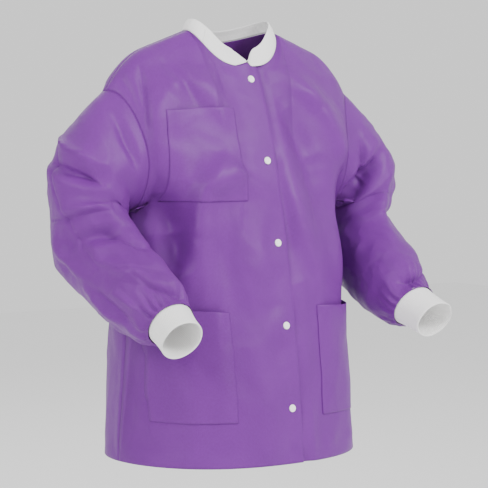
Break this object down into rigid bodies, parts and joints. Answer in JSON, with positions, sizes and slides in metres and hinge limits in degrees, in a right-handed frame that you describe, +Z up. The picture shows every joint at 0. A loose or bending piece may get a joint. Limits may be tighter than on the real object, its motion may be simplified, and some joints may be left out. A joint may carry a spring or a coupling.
{
  "type": "lab coat",
  "caption": "Hip-length snap-front lab jacket with knit collar and cuffs, a chest pocket and hip pockets, in worn shape.",
  "frame": {"origin": "centre of the neck opening, level with the side neck points", "axes": "+Z up, -Y the way the wearer faces, +X to the wearer's left"},
  "size_m": [0.6846, 0.4243, 0.7311],
  "materials": {
    "cloth": "spunbond nonwoven, soft sheen",
    "knit": "rib knit",
    "plastic": "moulded, satin",
    "tape": "woven tape"
  },
  "bodies": {
    "coat_body": {"back_panel": "cloth", "right_side_front": "cloth", "left_side_front": "cloth", "collar_back": "knit", "neck_label": "tape", "chest_pocket": "cloth", "right_hip_pocket": "cloth", "left_hip_pocket": "cloth"},
    "right_front": {"right_front_band": "cloth", "right_collar_end": "knit", "snap_cap_1": "plastic", "snap_cap_2": "plastic", "snap_cap_3": "plastic", "snap_cap_4": "plastic", "snap_cap_5": "plastic", "snap_socket_1": "plastic", "snap_socket_2": "plastic", "snap_socket_3": "plastic", "snap_socket_4": "plastic", "snap_socket_5": "plastic"},
    "left_front": {"left_front_band": "cloth", "left_collar_end": "knit", "snap_stud_1": "plastic", "snap_stud_2": "plastic", "snap_stud_3": "plastic", "snap_stud_4": "plastic", "snap_stud_5": "plastic", "snap_back_1": "plastic", "snap_back_2": "plastic", "snap_back_3": "plastic", "snap_back_4": "plastic", "snap_back_5": "plastic"},
    "right_sleeve": {"right_upper_sleeve": "cloth", "right_lower_sleeve": "cloth", "right_cuff": "knit"},
    "left_sleeve": {"left_upper_sleeve": "cloth", "left_lower_sleeve": "cloth", "left_cuff": "knit"}
  },
  "joints": [
    {"name": "right_front_open", "type": "hinge", "parent": "coat_body", "child": "right_front", "pos_m": [-0.0507, -0.074, -0.0497], "axis": [-0.0138, -0.1989, -0.9799], "range_deg": [0, 50]},
    {"name": "left_front_open", "type": "hinge", "parent": "coat_body", "child": "left_front", "pos_m": [0.0507, -0.074, -0.0497], "axis": [-0.0138, 0.1989, 0.9799], "range_deg": [0, 15]},
    {"name": "right_sleeve_raise", "type": "hinge", "parent": "coat_body", "child": "right_sleeve", "pos_m": [-0.246, 0.005, -0.101], "axis": [0, 1, 0], "range_deg": [0, 25]},
    {"name": "left_sleeve_raise", "type": "hinge", "parent": "coat_body", "child": "left_sleeve", "pos_m": [0.246, 0.005, -0.101], "axis": [0, -1, 0], "range_deg": [0, 25]}
  ],
  "couplings": [
    {"joint": "left_front_open", "follows": "right_front_open", "ratio": 0.3}
  ]
}
